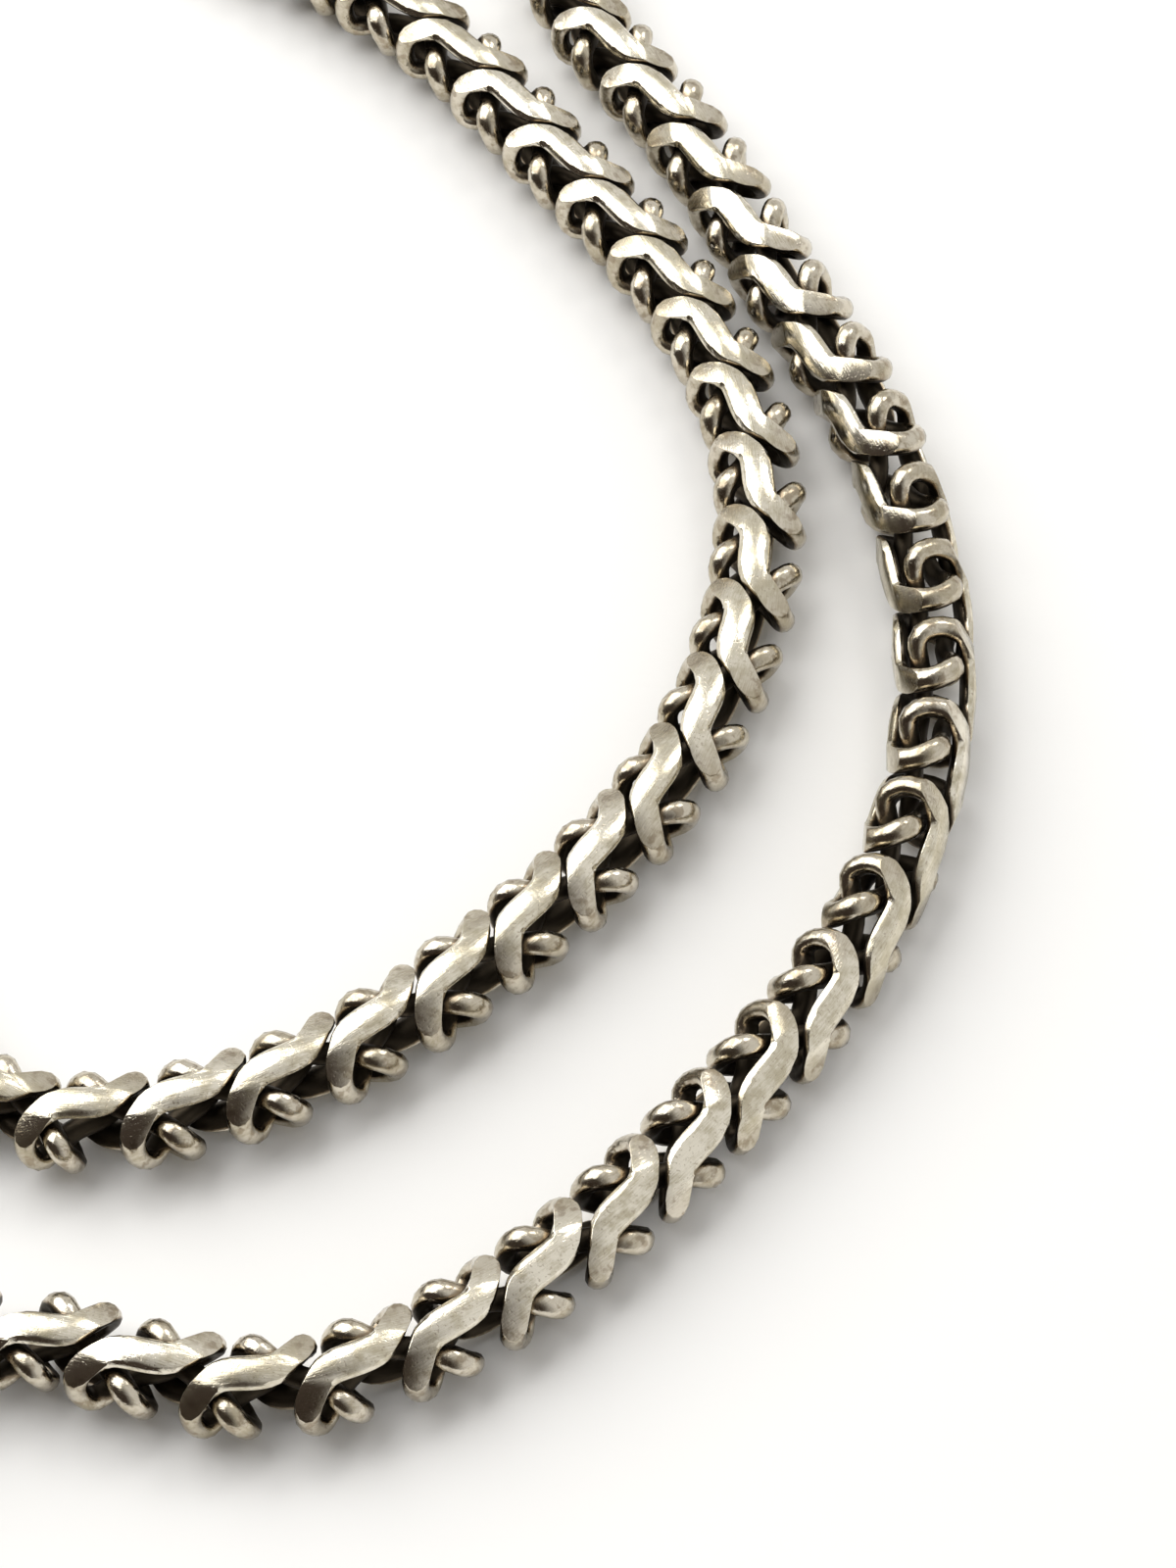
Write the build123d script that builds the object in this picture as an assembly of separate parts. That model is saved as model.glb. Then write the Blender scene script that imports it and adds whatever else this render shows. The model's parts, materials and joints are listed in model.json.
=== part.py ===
from build123d import *
import math
import os

import numpy as np

# A wheat chain necklace, lying doubled on a flat surface: two runs side by side, with a bend at each end.
# Millimetres. X to the right, Y away from the viewer, Z up, and the surface is Z = 0.

# Driving sizes
wire_width = 1.5          # of the flattened wire, across its polished face
wire_thickness = 0.96     # of the flattened wire, from its polished face to its back
crossing_gap = 0.48       # between two wires where one passes over the other
clasp_wall = 0.7          # round the clasp's two bores
clasp_core = 3.0          # solid middle of the clasp, between the bores
clasp_play = 0.3          # between an end link and the bore that it sits in
clasp_rounding = 2.2      # of the clasp's long edges
pin_diameter = 1.0        # of the pin across each bore, which holds an end link
lift_length = 22.0        # of the chain that rises to the clasp, on each side of it
# Shares of the link's pitch
link_reach = 0.40         # from the chain's middle line out to the wire in a link's loop
floor_share = 0.92        # from an end link's middle ahead to the floor of the clasp's bore
mouth_share = 0.04        # from an end link's middle back to the mouth of the clasp's bore
pin_across = -0.27        # from an end link's middle to the pin through its free loop
pin_ahead = 0.25
pin_height = 0.28         # of the pin above that link's middle, as a share of outer_level

# Sizes that follow from the wire
link_pitch = 2.8 * wire_width + 1.875 * wire_thickness
link_step = link_pitch / 2
inner_level = (wire_thickness + crossing_gap) / 2
outer_level = inner_level + wire_thickness + crossing_gap
chain_thickness = 2 * outer_level + wire_thickness
slanted_wire = 1.45 * wire_thickness
chain_width = 2 * link_reach * link_pitch + slanted_wire

# A link is a closed ring of flattened wire. The table has half of it, from the middle of its outer bar to
# the middle of its inner leg; the other half is the same, turned half round about the vertical.
# Across and along are shares of link_pitch and height a share of outer_level. Lean is the way that the
# wire's polished face looks: up at 0, outwards at 90 and down at 180.
LINK_HALF = [
    # across, along, height, lean
    (0.00, 0.000, 1.000, 0),
    (-0.03, 0.290, 1.000, 4),
    (-0.22, 0.490, 0.860, 38),
    (-link_reach, 0.505, -0.020, 95),
    (-0.27, 0.325, -0.425, 165),
    (0.00, 0.000, -0.320, 180),
]
# The heading of the loop at a link's forward end, as across and along
LOOP_HEADING = (-0.89, 0.46)
# Corners of the wire's section: across as a share of its width, out as a share of its thickness
WIRE_SECTION = [(-0.36, 0.5), (-0.5, -0.12), (0.0, -0.5), (0.5, -0.12), (0.36, 0.5)]

# The clasp, by the length from its middle along the chain
end_link_place = clasp_core / 2 + floor_share * link_pitch
clasp_half = end_link_place - mouth_share * link_pitch
# The way that the pin runs, as across and along
PIN_HEADING = (0.906, 0.423)
pin_level = pin_height * outer_level

# The route of the chain's middle line seen from above: chosen points on a smooth closed curve. It starts at
# the clasp, follows the inner run, turns beyond the far end and comes back along the outer run.
ROUTE = [
    (-74.0, -22.0),
    (-74.0, -14.8),
    (-70.5, -3.0),
    (-57.5, 1.5),
    (-46.0, -7.5),
    (-41.5, -16.5),
    (-32.7, -23.0),
    (-20.8, -21.7),
    (-10.2, -15.8),
    (0.4, -5.8),
    (7.4, 4.9),
    (10.7, 17.0),
    (9.9, 28.5),
    (5.0, 39.8),
    (-2.3, 50.1),
    (-10.6, 60.5),
    (-20.4, 68.5),
    (-29.9, 76.6),
    (-32.5, 88.6),
    (-25.6, 97.7),
    (-13.9, 98.2),
    (-5.5, 89.3),
    (-3.7, 76.9),
    (-0.6, 63.6),
    (5.9, 53.0),
    (12.6, 40.0),
    (18.7, 26.3),
    (21.7, 11.0),
    (20.0, -2.5),
    (14.4, -14.2),
    (5.3, -25.5),
    (-5.9, -35.6),
    (-18.8, -40.4),
    (-31.0, -37.9),
    (-42.5, -39.8),
    (-56.8, -45.9),
    (-70.5, -39.2),
    (-74.0, -28.5),
]
samples_a_span = 60
# The middle of the whole necklace, in the route's numbers: it becomes the origin
ROUTE_MIDDLE = (-26.89, 26.69)
# How far the chain is rolled about its own line, at points of the route. It lies on one broad face along
# the inner run and turns over, by way of its edge, along the outer run.
ROLL = [
    # point of the route, degrees
    (0, 0),
    (23, 0),
    (24, 8),
    (25, 28),
    (26, 58),
    (27, 88),
    (28, 112),
    (29, 135),
    (31, 167),
    (33, 180),
    (38, 180),
]


def route_curve(points):
    """A closed curve through the points that bends evenly: its places, and the point number at each."""
    count = len(points)
    spread = np.zeros((count, count))
    for i in range(count):
        spread[i, i] = 4 / 6
        spread[i, i - 1] = 1 / 6
        spread[i, (i + 1) % count] = 1 / 6
    hull = np.linalg.solve(spread, np.array(points) - ROUTE_MIDDLE)
    numbers = np.linspace(0, count, round(count * samples_a_span) + 1)
    places = []
    for number in numbers:
        i, u = divmod(number, 1)
        weights = [(1 - u) ** 3, 3 * u**3 - 6 * u**2 + 4, -3 * u**3 + 3 * u**2 + 3 * u + 1, u**3]
        corners = [hull[(int(i) + k) % count] for k in (-1, 0, 1, 2)]
        places.append(sum(w * c for w, c in zip(weights, corners)) / 6)
    return np.array(places), numbers


def eased(share):
    """A share from 0 to 1 that starts and ends gently."""
    share = min(max(share, 0), 1)
    return share * share * (3 - 2 * share)


def roll_at(number):
    """The chain's roll at a point number of the route, in radians."""
    for (start, low), (end, high) in zip(ROLL, ROLL[1:]):
        if number <= end:
            return math.radians(low + (high - low) * (number - start) / (end - start))
    return math.radians(ROLL[-1][1])


def unit(vector):
    return vector / np.linalg.norm(vector)


class Route:
    """Places along the chain's middle line, by the length from the clasp's middle."""

    def __init__(self):
        self.places, self.numbers = route_curve(ROUTE)
        spans = np.linalg.norm(np.diff(self.places, axis=0), axis=1)
        self.lengths = np.concatenate([[0], np.cumsum(spans)])
        self.length = self.lengths[-1]

    def plan(self, s):
        return np.array([np.interp(s % self.length, self.lengths, self.places[:, k]) for k in (0, 1)])

    def roll(self, s):
        return roll_at(np.interp(s % self.length, self.lengths, self.numbers))

    def level(self, s):
        """Height of the middle line: the chain rests on its lowest links and rises to the clasp's bores."""
        away = min(s % self.length, -s % self.length) - end_link_place
        rise = (clasp_height() - chain_thickness) / 2
        resting = max(resting_level(self.roll(s + shift)) for shift in (-link_step, 0, link_step))
        return resting + rise * (1 - eased(away / lift_length))

    def place(self, s):
        return np.append(self.plan(s), self.level(s))


def clasp_height():
    return chain_thickness + 2 * (clasp_play + clasp_wall)


def clasp_width():
    return chain_width + 2 * (clasp_play + clasp_wall)


def link_sections():
    """The corners of the wire's section at each station round a link, in the link's own frame."""
    heading = np.array([*LOOP_HEADING, 0.0])
    stations = [(np.array([a, b, h]), math.radians(lean), 1) for a, b, h, lean in LINK_HALF]
    turned = [(place * (-1, -1, 1), lean, -1) for place, lean, _ in reversed(stations[1:-1])]
    stations += turned
    scale = np.array([link_pitch, link_pitch, outer_level])
    centres = [place * scale for place, _, _ in stations]
    sections = []
    for k, (_, lean, side) in enumerate(stations):
        along = unit(centres[(k + 1) % len(stations)] - centres[k - 1])
        out = math.cos(lean) * np.array([0.0, 0.0, 1.0]) + math.sin(lean) * side * heading
        out = unit(out - out.dot(along) * along)
        across = np.cross(along, out)
        corners = [(u * wire_width, v * wire_thickness) for u, v in WIRE_SECTION]
        sections.append([centres[k] + u * across + v * out for u, v in corners])
    return sections


def resting_level(roll):
    """Height of the middle line where the chain lies at a roll: either kind of link stays above zero."""
    corners = np.array(link_sections()).reshape(-1, 3)
    heights = corners[:, 2] * math.cos(roll) - corners[:, 0] * math.sin(roll)
    return np.abs(heights).max()


def link_solid():
    """One link: a closed ring of flattened wire, faceted."""
    sections = link_sections()
    faces = []
    for k, section in enumerate(sections):
        following = sections[(k + 1) % len(sections)]
        for m in range(len(section)):
            n = (m + 1) % len(section)
            for corners in ((section[m], following[n], section[n]), (section[m], following[m], following[n])):
                faces.append(Face(Wire.make_polygon([Vector(*corner) for corner in corners])))
    return Solid(Shell(faces))


def upright(place, along, roll):
    """The frame of a link or the clasp: Y along the chain, Z out of its broad face, rolled about Y."""
    side = unit(np.cross(along, [0.0, 0.0, 1.0]))
    up = np.cross(side, along)
    across = math.cos(roll) * side - math.sin(roll) * up
    out = math.sin(roll) * side + math.cos(roll) * up
    return Location(Plane(Vector(*place), x_dir=Vector(*across), z_dir=Vector(*out)))


def link_frames(route):
    """The frames of all links, from one end of the clasp round to the other."""
    stretch = route.length - 2 * end_link_place
    count = int(stretch // link_step) + 1
    places = [end_link_place + stretch * i / (count - 1) for i in range(count)]
    axis = clasp_axis(route)
    frames = []
    for i, s in enumerate(places):
        along = unit(route.place(s + link_step / 2) - route.place(s - link_step / 2))
        if i in (0, count - 1):
            along = axis
        frames.append(upright(route.place(s), along, route.roll(s) + math.pi * (i % 2)))
    return frames


def clasp_axis(route):
    return unit(route.place(end_link_place) - route.place(-end_link_place))


def end_pin(reach):
    """The pin through an end link's free loop, in the frame of the link at the chain's far end."""
    heading = Vector(*PIN_HEADING, 0)
    middle = Vector(pin_across * link_pitch, pin_ahead * link_pitch, pin_level)
    start = middle - heading * reach
    return Solid.make_cylinder(pin_diameter / 2, 2 * reach, Plane(origin=start, z_dir=heading))


def clasp_solid(route, first, last):
    """A plain oblong clasp with a bore in each end and a pin across each bore."""
    axis = clasp_axis(route)
    middle = (route.place(end_link_place) + route.place(-end_link_place)) / 2
    frame = upright(middle, axis, 0)
    body = Box(clasp_width(), 2 * clasp_half, clasp_height())
    body = fillet(body.edges().filter_by(Axis.Y), clasp_rounding)
    bore_depth = clasp_half - clasp_core / 2
    bore = Box(clasp_width() - 2 * clasp_wall, bore_depth, clasp_height() - 2 * clasp_wall)
    bore = fillet(bore.edges().filter_by(Axis.Y), clasp_rounding - clasp_wall)
    bore_middle = clasp_core / 2 + bore_depth / 2
    shape = body - Pos(0, bore_middle, 0) * bore - Pos(0, -bore_middle, 0) * bore
    # Each pin reaches into both side walls and no further than the clasp's outside
    envelope = frame * body
    reach = clasp_width()
    turned = Rot(0, 0, 180)
    ahead = last * end_pin(reach)
    behind = first * turned * end_pin(reach)
    return (frame * shape) + (envelope & ahead) + (envelope & behind)


def save(shape, name):
    shape.label = name
    export_step(shape, "parts/" + name + ".step")


def main():
    os.makedirs("parts", exist_ok=True)
    route = Route()
    frames = link_frames(route)
    link = link_solid()
    links = [link.moved(frame) for frame in frames]
    half = len(links) // 2
    clasp = clasp_solid(route, frames[0], frames[-1])
    save(Compound(links[:half]), "chain_inner_run")
    save(Compound(links[half:]), "chain_outer_run")
    save(clasp, "clasp")
    whole = Compound(links + clasp.solids()).bounding_box()
    print("links", len(links), "route", round(route.length, 1), "link volume", round(link.volume, 2))
    print("low", whole.min, "high", whole.max)


main()
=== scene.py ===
import json
import math
import random

import bmesh
import bpy
import numpy as np
from mathutils import Matrix, Vector
from mathutils.bvhtree import BVHTree

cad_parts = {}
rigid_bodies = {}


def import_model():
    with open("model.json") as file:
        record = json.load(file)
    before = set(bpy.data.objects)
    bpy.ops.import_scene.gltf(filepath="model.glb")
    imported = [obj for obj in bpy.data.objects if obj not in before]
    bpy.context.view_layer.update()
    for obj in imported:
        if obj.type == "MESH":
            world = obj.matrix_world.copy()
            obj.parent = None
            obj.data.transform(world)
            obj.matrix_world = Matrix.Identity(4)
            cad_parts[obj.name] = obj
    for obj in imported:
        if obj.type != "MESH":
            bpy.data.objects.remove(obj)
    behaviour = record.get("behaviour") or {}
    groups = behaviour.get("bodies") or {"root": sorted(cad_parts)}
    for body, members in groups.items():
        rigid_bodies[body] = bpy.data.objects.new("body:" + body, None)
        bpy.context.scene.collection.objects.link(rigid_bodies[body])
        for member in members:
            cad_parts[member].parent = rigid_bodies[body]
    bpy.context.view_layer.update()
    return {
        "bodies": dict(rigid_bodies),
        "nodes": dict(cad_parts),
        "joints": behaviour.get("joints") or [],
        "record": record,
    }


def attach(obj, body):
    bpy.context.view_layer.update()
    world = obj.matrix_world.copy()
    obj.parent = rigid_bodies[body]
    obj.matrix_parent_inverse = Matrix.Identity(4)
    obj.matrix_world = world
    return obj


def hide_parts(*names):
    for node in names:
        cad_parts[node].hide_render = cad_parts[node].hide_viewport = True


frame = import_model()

# A wheat chain necklace of aged silver, lying doubled on white paper.
# Everything is in metres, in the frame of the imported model.
MM = 0.001

# Driving sizes of the chain
wire_width = 1.5 * MM
wire_thickness = 0.96 * MM
crossing_gap = 0.48 * MM
clasp_wall = 0.7 * MM
clasp_core = 3.0 * MM
clasp_play = 0.3 * MM
lift_length = 22.0 * MM
floor_share = 0.92

link_pitch = 2.8 * wire_width + 1.875 * wire_thickness
link_step = link_pitch / 2
inner_level = (wire_thickness + crossing_gap) / 2
outer_level = inner_level + wire_thickness + crossing_gap
chain_thickness = 2 * outer_level + wire_thickness
end_link_place = clasp_core / 2 + floor_share * link_pitch
clasp_height = chain_thickness + 2 * (clasp_play + clasp_wall)

# Half of a link's ring, from the middle of its outer bar to the middle of its inner leg. Across and along
# are shares of the pitch, height is a share of outer_level, and width and thickness are shares of the wire's.
# Lean is the way that the wire's outer side looks: up at 0, outwards at 90 and down at 180.
LINK_HALF = [
    # across, along, height, lean, width, thickness
    (0.000, 0.000, 1.00, 0, 1.38, 1.27),
    (-0.010, 0.155, 1.00, 0, 1.35, 1.27),
    (-0.045, 0.290, 1.00, 0, 1.27, 1.27),
    (-0.120, 0.390, 0.99, 6, 1.18, 1.27),
    (-0.215, 0.486, 0.93, 22, 1.15, 1.27),
    (-0.306, 0.557, 0.70, 48, 1.09, 1.31),
    (-0.368, 0.577, 0.22, 82, 1.02, 1.35),
    (-0.394, 0.518, -0.22, 110, 1.02, 1.35),
    (-0.345, 0.420, -0.48, 150, 1.05, 1.31),
    (-0.215, 0.292, -0.44, 172, 1.02, 1.25),
    (-0.080, 0.140, -0.345, 180, 1.00, 1.25),
    (0.000, 0.000, -0.31, 180, 0.95, 1.25),
]
LOOP_HEADING = Vector((-0.89, 0.46, 0))

# How finely the wire is made, the sharpest turn between faces that is still shaded as smooth, and the grid
# that a link's corners are rounded to
sides_of_wire = 12
rings_a_station = 2
smooth_angle = math.radians(40)
grid = 0.0001 * MM

# The polishing wheel's flats on an outer bar: two that meet over its middle, and one towards each loop,
# which is cut through facet_place, measured from the middle of the bar's top
crown_tilt = math.radians(4)
facet_place = Vector((-0.11, 0.40, -0.02)) * link_pitch
facet_tilt = math.radians(28)

# The flats' rims: worn round where they turn by more than sharp_rim, once edges under shortest_edge are gone
rim = 0.10 * MM
sharp_rim = math.radians(32)
shortest_edge = 0.14 * MM

# Bends of the chain, in degrees from one link to the next, and how much links in the tight ones shorten
easy_bend = 5
tight_bend = 12
bend_shortening = 0.10

# The route of the chain's middle line seen from above, in millimetres: it starts at the clasp, follows the
# inner run, turns beyond the far end and comes back along the outer run.
ROUTE = [
    (-74.0, -22.0),
    (-74.0, -14.8),
    (-70.5, -3.0),
    (-57.5, 1.5),
    (-46.0, -7.5),
    (-41.5, -16.5),
    (-32.7, -23.0),
    (-20.8, -21.7),
    (-10.2, -15.8),
    (0.4, -5.8),
    (7.4, 4.9),
    (10.7, 17.0),
    (9.9, 28.5),
    (5.0, 39.8),
    (-2.3, 50.1),
    (-10.6, 60.5),
    (-20.4, 68.5),
    (-29.9, 76.6),
    (-32.5, 88.6),
    (-25.6, 97.7),
    (-13.9, 98.2),
    (-5.5, 89.3),
    (-3.7, 76.9),
    (-0.6, 63.6),
    (5.9, 53.0),
    (12.6, 40.0),
    (18.7, 26.3),
    (21.7, 11.0),
    (20.0, -2.5),
    (14.4, -14.2),
    (5.3, -25.5),
    (-5.9, -35.6),
    (-18.8, -40.4),
    (-31.0, -37.9),
    (-42.5, -39.8),
    (-56.8, -45.9),
    (-70.5, -39.2),
    (-74.0, -28.5),
]
ROUTE_MIDDLE = (-26.89, 26.69)
samples_a_span = 60
# How far the chain is rolled about its own line, at points of the route
ROLL = [
    # point of the route, degrees
    (0, 0),
    (23, 0),
    (24, 8),
    (25, 28),
    (26, 58),
    (27, 88),
    (28, 112),
    (29, 135),
    (31, 167),
    (33, 180),
    (38, 180),
]

# Each point of a link is looked round for other links with rays that start just above the surface, each
# turned by turn_a_ray radians from the last
rays_a_point = 160
turn_a_ray = 2.4
ray_start = 0.03 * MM
shelter_reach = 4.0 * MM

# Colours of the silver: polished, dulled, yellowed with age, brown (tarnish, and painted shade on the loops)
# and blackened
polished = (0.84, 0.79, 0.675, 1)
dulled = (0.50, 0.45, 0.33, 1)
yellowed = (0.58, 0.53, 0.405, 1)
browned_and_shaded = (0.28, 0.22, 0.15, 1)
blackened = (0.055, 0.044, 0.031, 1)
clasp_bright = (0.86, 0.82, 0.72, 1)
clasp_dull = (0.62, 0.57, 0.45, 1)
paper_white = (0.92, 0.92, 0.915, 1)

# The room that the silver mirrors: its walls, its dark part, and the way to that part from the chain
pale_walls = (0.80, 0.79, 0.77, 1)
dark_brown = (0.055, 0.042, 0.034, 1)
dark_side = Vector((-0.65, -0.65, 0.35))

# The paper, just under the lowest links
paper_side = 3.0
paper_level = -0.02 * MM

# The camera: aimed at the middle of the photo, from the photo's height
camera_target = Vector((26.89, -26.69, 2.64)) * MM
camera_elevation = math.radians(58)
camera_distance = 272.7 * MM
camera_lens = 101.25


def closed_curve(points, samples):
    """A closed, evenly bending curve through rows of numbers: rows along it, and the row number at each."""
    points = np.array(points, float)
    count = len(points)
    even = np.eye(count)
    spread = (4 * even + np.roll(even, 1, axis=0) + np.roll(even, -1, axis=0)) / 6
    hull = np.linalg.solve(spread, points)
    numbers = np.arange(count * samples + 1) / samples
    first = np.floor(numbers).astype(int)
    u = (numbers - first)[:, None]
    weights = [(1 - u) ** 3, 3 * u**3 - 6 * u**2 + 4, -3 * u**3 + 3 * u**2 + 3 * u + 1, u**3]
    rows = sum(weight * hull[(first + k - 1) % count] for k, weight in enumerate(weights)) / 6
    return rows, numbers


def eased(share):
    share = min(max(share, 0), 1)
    return share * share * (3 - 2 * share)


class Route:
    """Places along the chain's middle line, by the length from the clasp's middle."""

    def __init__(self, link_corners):
        self.places, self.numbers = closed_curve((np.array(ROUTE) - ROUTE_MIDDLE) * MM, samples_a_span)
        spans = np.linalg.norm(np.diff(self.places, axis=0), axis=1)
        self.lengths = np.concatenate([[0], np.cumsum(spans)])
        self.length = self.lengths[-1]
        self.corners = link_corners

    def roll(self, s):
        number = np.interp(s % self.length, self.lengths, self.numbers)
        return math.radians(np.interp(number, *zip(*ROLL)))

    def resting_level(self, roll):
        heights = self.corners[:, 2] * math.cos(roll) - self.corners[:, 0] * math.sin(roll)
        return np.abs(heights).max()

    def level(self, s):
        """Height of the middle line: the chain rests on its lowest links and rises to the clasp's bores."""
        away = min(s % self.length, -s % self.length) - end_link_place
        rise = (clasp_height - chain_thickness) / 2
        resting = max(self.resting_level(self.roll(s + shift)) for shift in (-link_step, 0, link_step))
        return resting + rise * (1 - eased(away / lift_length))

    def place(self, s):
        x, y = (np.interp(s % self.length, self.lengths, self.places[:, k]) for k in (0, 1))
        return Vector((x, y, self.level(s)))


def upright(place, along, roll):
    """The frame of a link: Y along the chain, Z out of its broad face, rolled about Y."""
    side = along.cross(Vector((0, 0, 1))).normalized()
    up = side.cross(along)
    across = math.cos(roll) * side - math.sin(roll) * up
    out = math.sin(roll) * side + math.cos(roll) * up
    return Matrix.Translation(place) @ Matrix((across, along, out)).transposed().to_4x4()


def bend_fit(before, after):
    """Where the chain bends tightly, its links are a little shorter, to stay clear of each other."""
    tightness = (math.degrees(before.angle(after)) - easy_bend) / (tight_bend - easy_bend)
    return Matrix.Diagonal((1, 1 - bend_shortening * eased(tightness), 1, 1))


def link_frames(route):
    stretch = route.length - 2 * end_link_place
    count = int(stretch // link_step) + 1
    places = [end_link_place + stretch * i / (count - 1) for i in range(count)]
    axis = (route.place(end_link_place) - route.place(-end_link_place)).normalized()
    frames = []
    for i, s in enumerate(places):
        along = (route.place(s + link_step / 2) - route.place(s - link_step / 2)).normalized()
        if i in (0, count - 1):
            along = axis
        frame = upright(route.place(s), along, route.roll(s) + math.pi * (i % 2))
        before = route.place(s) - route.place(s - link_step)
        after = route.place(s + link_step) - route.place(s)
        frames.append(frame @ bend_fit(before, after))
    return frames


def deselect_all():
    for thing in bpy.context.selected_objects:
        thing.select_set(False)


def wire_stations():
    """Places round a link's ring, with the way that the wire's outer side looks, its width and thickness."""
    rows = []
    for a, b, height, lean, width, thickness in LINK_HALF:
        lean = math.radians(lean)
        out = Vector((0, 0, math.cos(lean))) + math.sin(lean) * LOOP_HEADING
        rows.append([a * link_pitch, b * link_pitch, height * outer_level, *out, width, thickness])
    turned = [[-x, -y, z, -u, -v, w, *size] for x, y, z, u, v, w, *size in reversed(rows[1:-1])]
    return closed_curve(rows + turned, rings_a_station)[0][:-1]


def section_frames():
    """For each station, the frame that takes a circle of one metre to the wire's section there."""
    stations = wire_stations()
    centres = [Vector(row[:3]) for row in stations]
    frames = []
    for k, row in enumerate(stations):
        along = (centres[(k + 1) % len(centres)] - centres[k - 1]).normalized()
        out = Vector(row[3:6])
        out = (out - out.dot(along) * along).normalized()
        turn = Matrix((along.cross(out), -out, -along)).transposed().to_4x4()
        size = Matrix.Diagonal((row[6] * wire_width, row[7] * wire_thickness, MM, 1))
        frames.append(Matrix.Translation(centres[k]) @ turn @ size)
    return frames


def link_mesh():
    """One link: a circle extruded round the ring, with the polished flats cut off its outer bar."""
    deselect_all()
    frames = section_frames()
    bpy.ops.mesh.primitive_circle_add(vertices=sides_of_wire, radius=0.5)
    link = bpy.context.object
    link.name = "link"
    link.data.transform(frames[0])
    bpy.ops.object.mode_set(mode="EDIT")
    bpy.ops.mesh.select_all(action="SELECT")
    for last, following in zip(frames, frames[1:] + frames[:1]):
        bpy.ops.mesh.extrude_region_move()
        shape = bmesh.from_edit_mesh(link.data)
        step = following @ last.inverted()
        for vertex in shape.verts:
            if vertex.select:
                vertex.co = step @ vertex.co
        bmesh.update_edit_mesh(link.data)
    bpy.ops.mesh.select_all(action="SELECT")
    bpy.ops.mesh.remove_doubles(threshold=MM / 1000)
    cut_flats()
    round_rims()
    bpy.ops.mesh.select_all(action="SELECT")
    bpy.ops.mesh.normals_make_consistent(inside=False)
    bpy.ops.object.mode_set(mode="OBJECT")
    put_in_order(link.data)
    return link


def put_in_order(mesh):
    """Corners on a fine grid, and corners and faces sorted: the cuts leave them otherwise in each run."""
    places = [tuple(round(c / grid) for c in vertex.co) for vertex in mesh.vertices]
    order = sorted(range(len(places)), key=lambda old: places[old])
    number = {old: new for new, old in enumerate(order)}
    corners = [[c * grid for c in places[old]] for old in order]
    faces = []
    for polygon in mesh.polygons:
        ring = [number[old] for old in polygon.vertices]
        start = ring.index(min(ring))
        faces.append(ring[start:] + ring[:start])
    mesh.clear_geometry()
    mesh.from_pydata(corners, [], sorted(faces))
    mesh.update()


def cut_flats():
    top = Vector((0, 0, chain_thickness / 2))
    for turn in (Matrix.Identity(3), Matrix.Rotation(math.pi, 3, "Z")):
        crown = turn @ Vector((0, math.sin(crown_tilt), math.cos(crown_tilt)))
        facet = turn @ (math.sin(facet_tilt) * LOOP_HEADING + math.cos(facet_tilt) * Vector((0, 0, 1)))
        for place, normal in ((top, crown), (top + turn @ facet_place, facet)):
            bpy.ops.mesh.select_all(action="SELECT")
            bpy.ops.mesh.bisect(
                plane_co=place, plane_no=normal, use_fill=True, clear_outer=True, threshold=MM / 1000
            )
            bpy.ops.mesh.region_to_loop()
            bpy.ops.mesh.mark_seam()


def round_rims():
    """Worn round edges where the flats meet each other and the rest of the wire."""
    shape = bmesh.from_edit_mesh(bpy.context.object.data)
    on_rim = {vertex for edge in shape.edges if edge.seam for vertex in edge.verts}
    for edge in sorted(shape.edges, key=lambda edge: edge.calc_length()):
        start, end = edge.verts
        if edge.calc_length() < shortest_edge and (start in on_rim or end in on_rim):
            start.co = end.co = start.co if start in on_rim else end.co
    bmesh.update_edit_mesh(bpy.context.object.data)
    bpy.ops.mesh.select_all(action="SELECT")
    bpy.ops.mesh.remove_doubles(threshold=MM / 1000)
    bpy.ops.mesh.select_all(action="DESELECT")
    shape = bmesh.from_edit_mesh(bpy.context.object.data)
    for edge in shape.edges:
        edge.select_set(edge.seam and edge.calc_face_angle() > sharp_rim)
    bmesh.update_edit_mesh(bpy.context.object.data)
    bpy.ops.mesh.bevel(offset=rim, segments=2, clamp_overlap=True)


def all_directions():
    """Directions spread evenly over a sphere."""
    directions = []
    for k, height in enumerate(np.linspace(-0.99, 0.99, rays_a_point)):
        reach = math.sqrt(1 - height * height)
        turn = turn_a_ray * k
        directions.append(Vector((reach * math.cos(turn), reach * math.sin(turn), height)))
    return directions


def sheltered(mesh, near):
    """How far the links round a link hide each of its vertices from the polishing wheel: 0 open, 1 hidden."""
    shell = bmesh.new()
    for frame in near:
        part = mesh.copy()
        part.transform(frame)
        shell.from_mesh(part)
        bpy.data.meshes.remove(part)
    bmesh.ops.triangulate(shell, faces=shell.faces)
    tree = BVHTree.FromBMesh(shell)
    shell.free()
    directions = all_directions()
    hidden = []
    for vertex in mesh.vertices:
        start = vertex.co + vertex.normal * ray_start
        facing = [d for d in directions if d.dot(vertex.normal) > 0.1]
        blocked = [d.dot(vertex.normal) for d in facing if tree.ray_cast(start, d, shelter_reach)[0]]
        hidden.append(sum(blocked) / sum(d.dot(vertex.normal) for d in facing))
    return hidden


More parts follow.
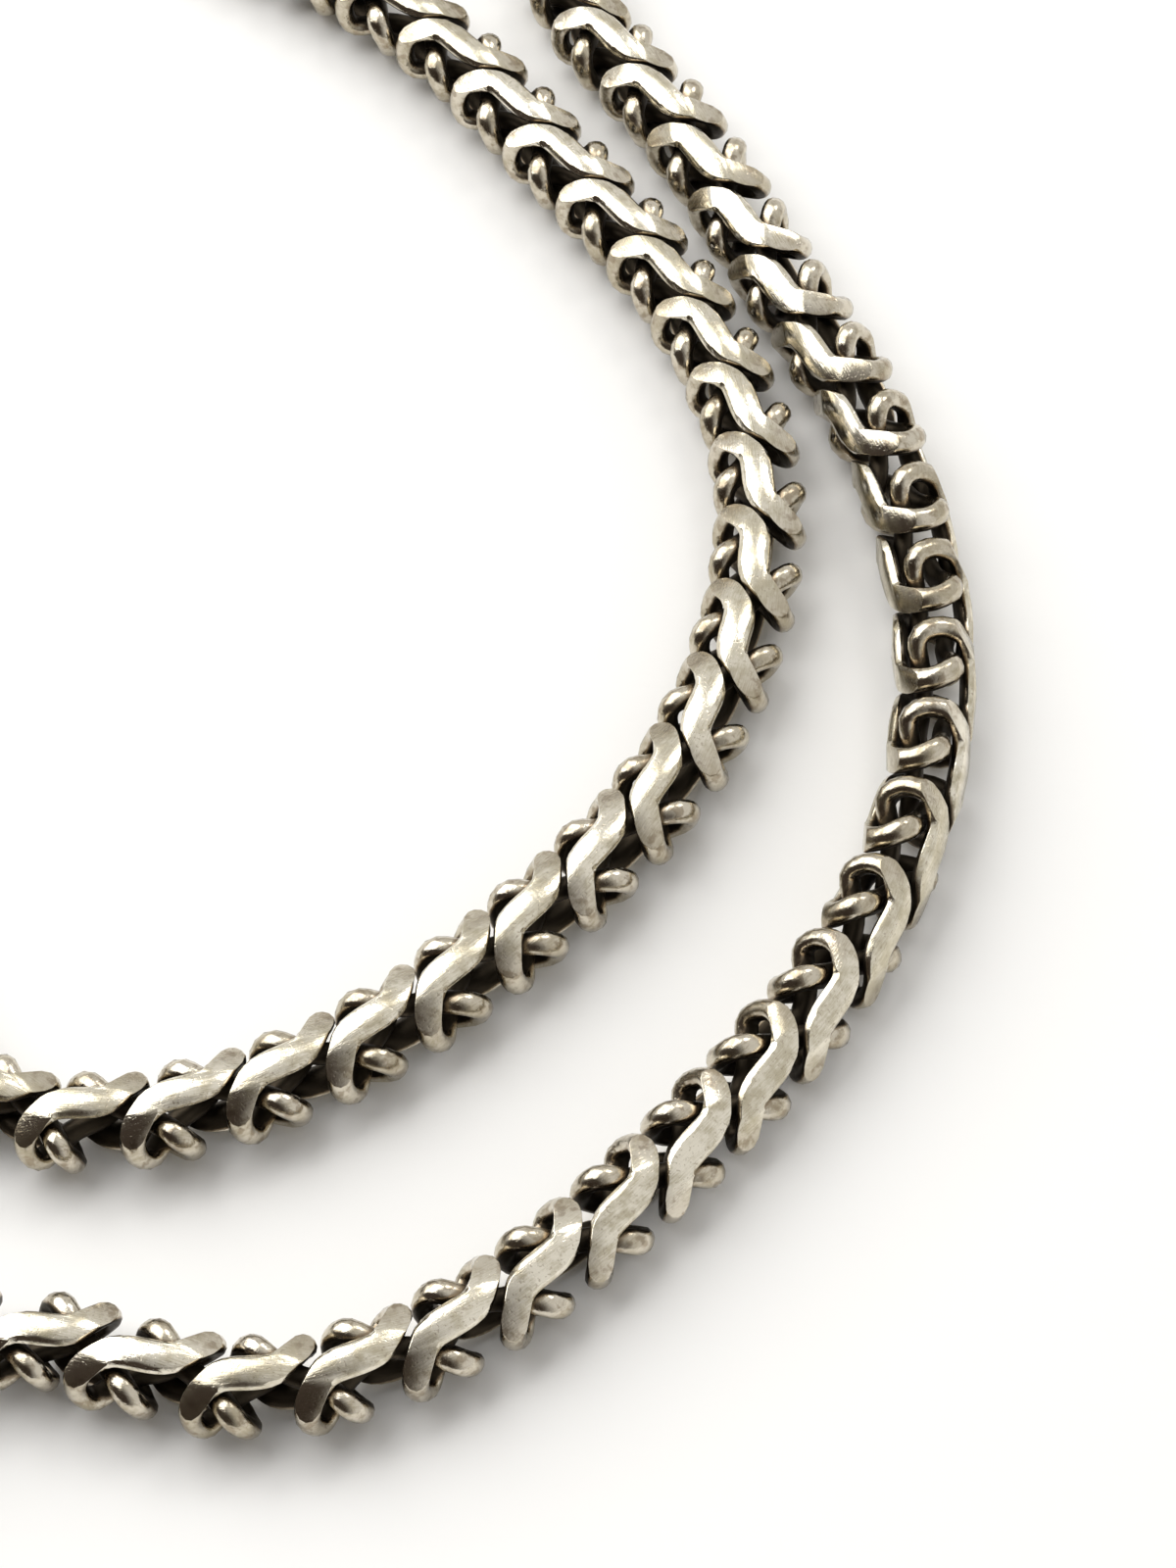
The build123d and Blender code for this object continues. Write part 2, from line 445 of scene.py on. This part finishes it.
def mark_link(link):
    """What the finish needs to know at each point of a link: its shelter, its place and the way it faces."""
    mesh = link.data
    near = []
    for k in range(-4, 5):
        near.append(Matrix.Translation((0, k * link_step, 0)) @ Matrix.Rotation(math.pi * (k % 2), 4, "Y"))
    shelter = mesh.attributes.new("shelter", "FLOAT", "POINT")
    shelter.data.foreach_set("value", sheltered(mesh, near))
    depth = mesh.attributes.new("depth", "FLOAT", "POINT")
    reach = [math.hypot(v.co.x, v.co.z) for v in mesh.vertices]
    depth.data.foreach_set("value", [1 - r / (chain_thickness / 2) for r in reach])
    height = mesh.attributes.new("height", "FLOAT", "POINT")
    height.data.foreach_set("value", [v.co.z / (chain_thickness / 2) for v in mesh.vertices])
    facing = mesh.attributes.new("facing", "FLOAT", "POINT")
    facing.data.foreach_set(
        "value", [v.normal.dot(Vector((v.co.x, 0, v.co.z)).normalized()) for v in mesh.vertices]
    )
    place = mesh.attributes.new("place", "FLOAT_VECTOR", "POINT")
    place.data.foreach_set("vector", np.array([v.co for v in mesh.vertices]).ravel() / link_pitch)
    mesh.attributes.new("tone", "FLOAT", "POINT")


def chain_piece(link, frames, name):
    """Copies of the link in their places, joined as one piece."""
    deselect_all()
    copies = []
    for frame in frames:
        copy = link.copy()
        copy.data = link.data.copy()
        bpy.context.collection.objects.link(copy)
        copy.data.transform(frame)
        tone = copy.data.attributes["tone"]
        tone.data.foreach_set("value", [random.random()] * len(copy.data.vertices))
        copy.select_set(True)
        copies.append(copy)
    bpy.context.view_layer.objects.active = copies[0]
    bpy.ops.object.join()
    piece = copies[0]
    piece.name = name
    bpy.ops.object.shade_smooth_by_angle(angle=smooth_angle)
    return piece


class Signal:
    """A value in a material, on which plain arithmetic adds Math nodes."""

    def __init__(self, finish, socket):
        self.finish = finish
        self.socket = socket

    def math(self, operation, *values):
        return self.finish.node("ShaderNodeMath", {"operation": operation}, dict(enumerate(values)))

    def __add__(self, other):
        return self.math("ADD", self, other)

    def __sub__(self, other):
        return self.math("SUBTRACT", self, other)

    def __mul__(self, other):
        return self.math("MULTIPLY", self, other)

    def __radd__(self, other):
        return self.math("ADD", other, self)

    def __rsub__(self, other):
        return self.math("SUBTRACT", other, self)

    def __rmul__(self, other):
        return self.math("MULTIPLY", other, self)

    def most(self, other):
        return self.math("MAXIMUM", self, other)

    def rise(self, start, end):
        """0 below start and 1 above end, with a soft step between."""
        return self.finish.node(
            "ShaderNodeMapRange",
            {"interpolation_type": "SMOOTHSTEP"},
            {"Value": self, "From Min": start, "From Max": end},
        )


class Finish:
    """A material, built from nodes on one Principled shader."""

    def __init__(self, name):
        self.material = bpy.data.materials.new(name)
        self.material.use_nodes = True
        self.tree = self.material.node_tree
        self.shader = self.tree.nodes["Principled BSDF"]

    def node(self, kind, settings=None, inputs=None, output=0):
        made = self.tree.nodes.new(kind)
        for name, value in (settings or {}).items():
            setattr(made, name, value)
        for name, value in (inputs or {}).items():
            if isinstance(value, Signal):
                self.tree.links.new(value.socket, made.inputs[name])
            else:
                made.inputs[name].default_value = value
        return Signal(self, made.outputs[output])

    def set(self, name, value):
        if isinstance(value, Signal):
            self.tree.links.new(value.socket, self.shader.inputs[name])
        else:
            self.shader.inputs[name].default_value = value

    def attribute(self, name, output=2):
        return self.node("ShaderNodeAttribute", {"attribute_name": name}, output=output)

    def place(self, stretch=(1, 1, 1), source=None):
        source = source or self.node("ShaderNodeTexCoord", output=3)
        return self.node("ShaderNodeMapping", inputs={"Vector": source, "Scale": stretch})

    def noise(self, vector, scale, detail=3.0):
        return self.node(
            "ShaderNodeTexNoise",
            inputs={"Vector": vector, "Scale": scale, "Detail": detail, "Roughness": 0.55},
        )

    def blend(self, share, first, second):
        """A colour that goes from the first to the second."""
        made = self.tree.nodes.new("ShaderNodeMix")
        made.data_type = "RGBA"
        for socket, value in zip((made.inputs[0], made.inputs[6], made.inputs[7]), (share, first, second)):
            if isinstance(value, Signal):
                self.tree.links.new(value.socket, socket)
            else:
                socket.default_value = value
        return Signal(self, made.outputs[2])

    def bump(self, height, distance, strength):
        return self.node(
            "ShaderNodeBump",
            inputs={"Height": height, "Distance": distance, "Strength": strength},
        )


def aged_silver():
    """Silver, polished where a wheel reaches and tarnished brown to black where it doesn't; on the loops the
    brown is partly painted shade.
    """
    finish = Finish("aged_silver")
    place = finish.place()
    in_link = finish.attribute("place", output=1)
    shelter = finish.attribute("shelter")
    depth = finish.attribute("depth")
    height = finish.attribute("height")
    facing = finish.attribute("facing")
    tone = finish.attribute("tone")
    cloud = finish.noise(place, 900.0, detail=4.0)
    grain = finish.noise(place, 3000.0, detail=3.0)
    blotch = finish.noise(place, 1500.0, detail=4.0).rise(0.50, 0.64)
    pits = finish.noise(place, 5200.0, detail=1.0).rise(0.60, 0.72)
    brushed = finish.noise(finish.place((34, 3, 12), in_link), 2.0, detail=3.0)
    inward = 1 - facing.rise(-0.35, 0.55)
    mottle = (cloud - 0.5) * 0.35 + (grain - 0.5) * 0.25
    hidden = shelter * 0.7 + depth.rise(0.02, 0.30) * 0.4 + inward * 0.25 + mottle
    # Lower in the link than its outer bars, the loops and inner legs are turned brown: partly tarnish that
    # the wheel leaves, partly painted shade for the dark side of the room that they mirror.
    worn_and_lit = (height + (cloud - 0.5) * 0.25).rise(0.62, 0.90)
    stain_and_shade = hidden.rise(0.20, 0.60).most((1 - worn_and_lit) * (0.32 + blotch * 0.45))
    soot = hidden.rise(0.56, 0.84)
    haze = (cloud * 0.62 + grain * 0.06 + brushed * 0.32 + tone * 0.08).rise(0.42, 0.68)
    silver = finish.blend(haze, polished, dulled)
    silver = finish.blend(tone * 0.4, silver, yellowed)
    silver = finish.blend(stain_and_shade.most(pits * 0.4), silver, browned_and_shaded)
    finish.set("Base Color", finish.blend(soot, silver, blackened))
    finish.set("Metallic", 1.0)
    finish.set("Roughness", 0.11 + haze * 0.12 + stain_and_shade * 0.06 + soot * 0.25)
    relief = brushed * 0.5 + grain * 0.3 + cloud * 0.9 - pits * 0.2
    finish.set("Normal", finish.bump(relief, 0.03 * MM, 0.6))
    return finish.material


def plain_silver():
    """The clasp's silver: brushed along its length."""
    finish = Finish("plain_silver")
    brushed = finish.noise(finish.place((1, 0.08, 1)), 3000.0)
    mottle = finish.noise(finish.place(), 500.0)
    finish.set("Base Color", finish.blend(mottle, clasp_bright, clasp_dull))
    finish.set("Metallic", 1.0)
    finish.set("Roughness", 0.2 + brushed * 0.15)
    finish.set("Normal", finish.bump(brushed, 0.01 * MM, 0.5))
    return finish.material


def white_paper():
    finish = Finish("white_paper")
    grain = finish.noise(finish.place(), 1500.0)
    finish.set("Base Color", paper_white)
    finish.set("Roughness", 0.8)
    finish.set("Normal", finish.bump(grain, 0.03 * MM, 0.4))
    return finish.material


def softbox(name, direction, distance, size, power, color):
    """A flat lamp in the given direction from the chain, which shines on it."""
    deselect_all()
    direction = Vector(direction).normalized()
    bpy.ops.object.light_add(type="AREA", location=direction * distance)
    lamp = bpy.context.object
    lamp.name = name
    lamp.rotation_euler = direction.to_track_quat("Z", "Y").to_euler()
    lamp.data.shape = "RECTANGLE"
    lamp.data.size, lamp.data.size_y = size
    lamp.data.energy = power
    lamp.data.color = color


def room_light():
    """Light from the room: pale all round, and dark brown low down at the viewer's left."""
    world = bpy.data.worlds.new("room")
    bpy.context.scene.world = world
    world.use_nodes = True
    tree = world.node_tree
    look = tree.nodes.new("ShaderNodeTexCoord")
    toward = tree.nodes.new("ShaderNodeVectorMath")
    toward.operation = "DOT_PRODUCT"
    toward.inputs[1].default_value = dark_side.normalized()
    tree.links.new(look.outputs["Generated"], toward.inputs[0])
    ramp = tree.nodes.new("ShaderNodeValToRGB")
    tree.links.new(toward.outputs["Value"], ramp.inputs["Fac"])
    ramp.color_ramp.elements[0].position = 0.20
    ramp.color_ramp.elements[0].color = pale_walls
    ramp.color_ramp.elements[1].position = 0.80
    ramp.color_ramp.elements[1].color = dark_brown
    tree.links.new(ramp.outputs["Color"], tree.nodes["Background"].inputs["Color"])


random.seed(7)
link = link_mesh()
mark_link(link)
route = Route(np.array([v.co for v in link.data.vertices]))
frames = link_frames(route)
half = len(frames) // 2
silver = aged_silver()
for name, share in (("chain_inner_run", frames[:half]), ("chain_outer_run", frames[half:])):
    piece = chain_piece(link, share, name.replace("chain", "links"))
    piece.data.materials.append(silver)
    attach(piece, "root")
    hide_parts(name)
bpy.data.objects.remove(link)

clasp = frame["nodes"]["clasp"]
clasp.data.materials.clear()
clasp.data.materials.append(plain_silver())

deselect_all()
bpy.ops.mesh.primitive_plane_add(size=paper_side, location=(0, 0, paper_level))
paper = bpy.context.object
paper.name = "paper"
paper.data.materials.append(white_paper())

room_light()
softbox(
    "window",
    direction=(-0.55, 0.40, 0.74),
    distance=0.85,
    size=(0.95, 0.95),
    power=8.0,
    color=(1.0, 0.99, 0.97),
)
softbox(
    "lamp",
    direction=(0.35, 0.55, 0.75),
    distance=0.9,
    size=(0.25, 0.25),
    power=0.9,
    color=(1.0, 0.98, 0.95),
)

camera = bpy.data.objects.new("camera", bpy.data.cameras.new("camera"))
bpy.context.collection.objects.link(camera)
back = Vector((0, -math.cos(camera_elevation), math.sin(camera_elevation)))
camera.location = camera_target + back * camera_distance
camera.rotation_euler = back.to_track_quat("Z", "Y").to_euler()
camera.data.lens = camera_lens
camera.data.sensor_width = 36
camera.data.clip_start = 0.01
bpy.context.scene.camera = camera
bpy.context.scene.view_settings.view_transform = "Standard"
